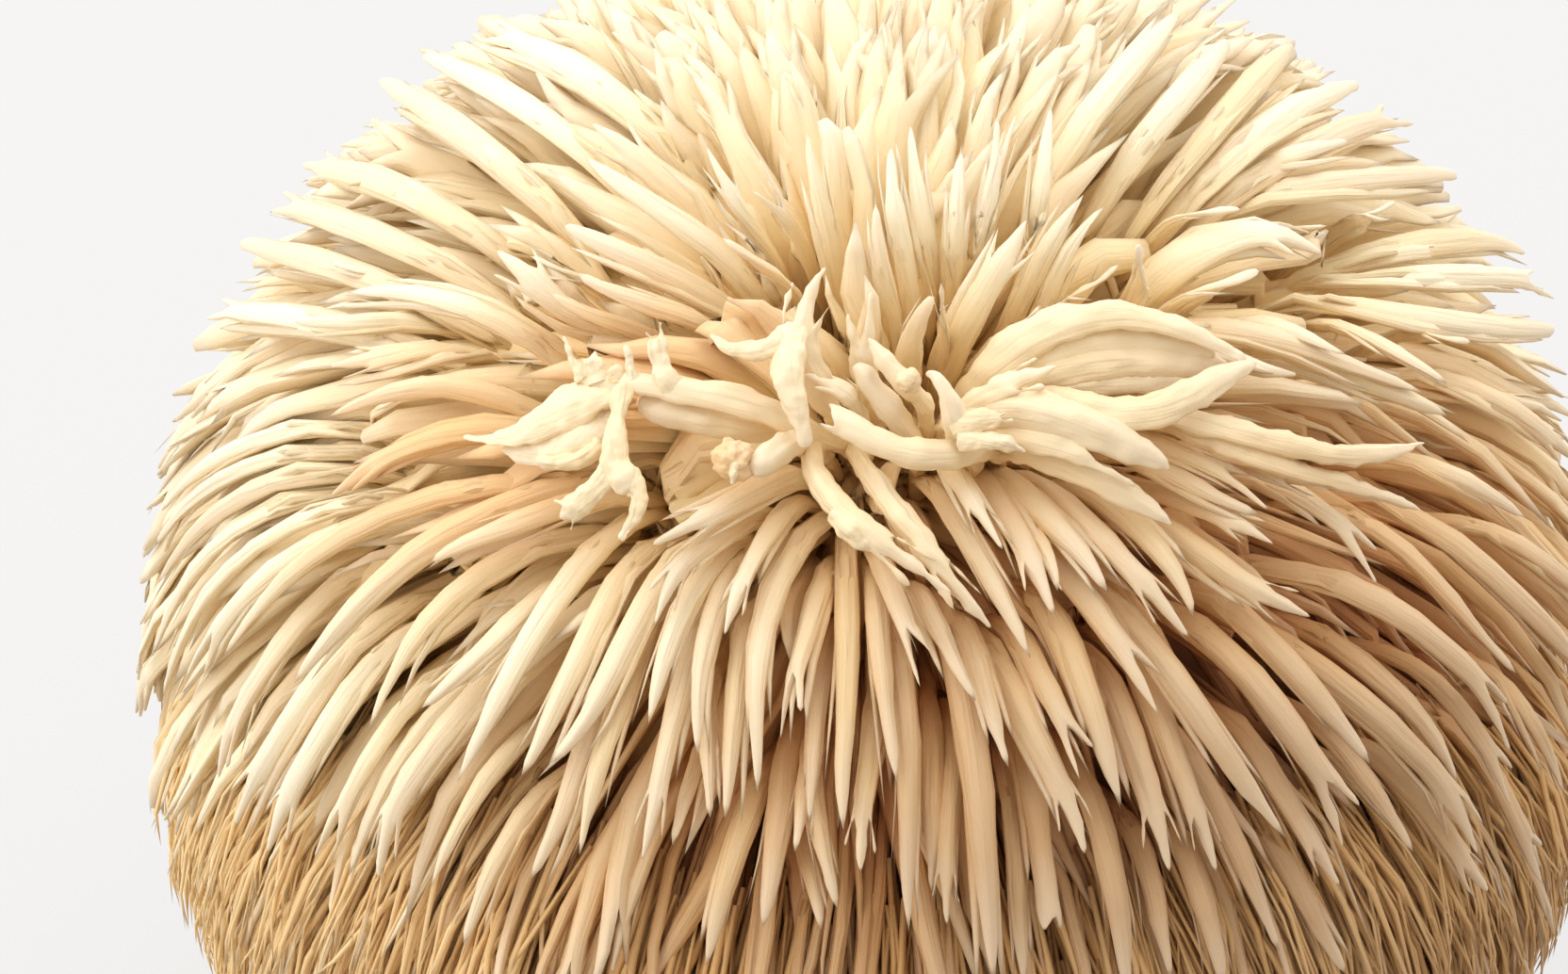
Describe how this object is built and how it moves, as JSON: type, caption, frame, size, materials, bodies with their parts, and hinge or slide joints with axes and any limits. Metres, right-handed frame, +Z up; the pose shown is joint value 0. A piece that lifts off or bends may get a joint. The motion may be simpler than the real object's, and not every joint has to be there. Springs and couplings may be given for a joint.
{
  "type": "lion's mane mushroom",
  "caption": "Fresh lion's mane mushroom: a round fruit body of soft hanging spines parted at a crown, cut flat underneath to stand on.",
  "frame": {"origin": "centre of the flat cut face under the fruit body", "axes": "+Z up from the cut face through the ball; the crown where the spines part leans towards -Y; +X to the right of a viewer who looks along +Y"},
  "size_m": [0.1188, 0.1186, 0.1124],
  "materials": {
    "mushroom_flesh": "soft matte cream flesh, orange-brown between the spines, pale at their tips"
  },
  "bodies": {
    "root": {"lions_mane": "mushroom_flesh"}
  },
  "joints": []
}
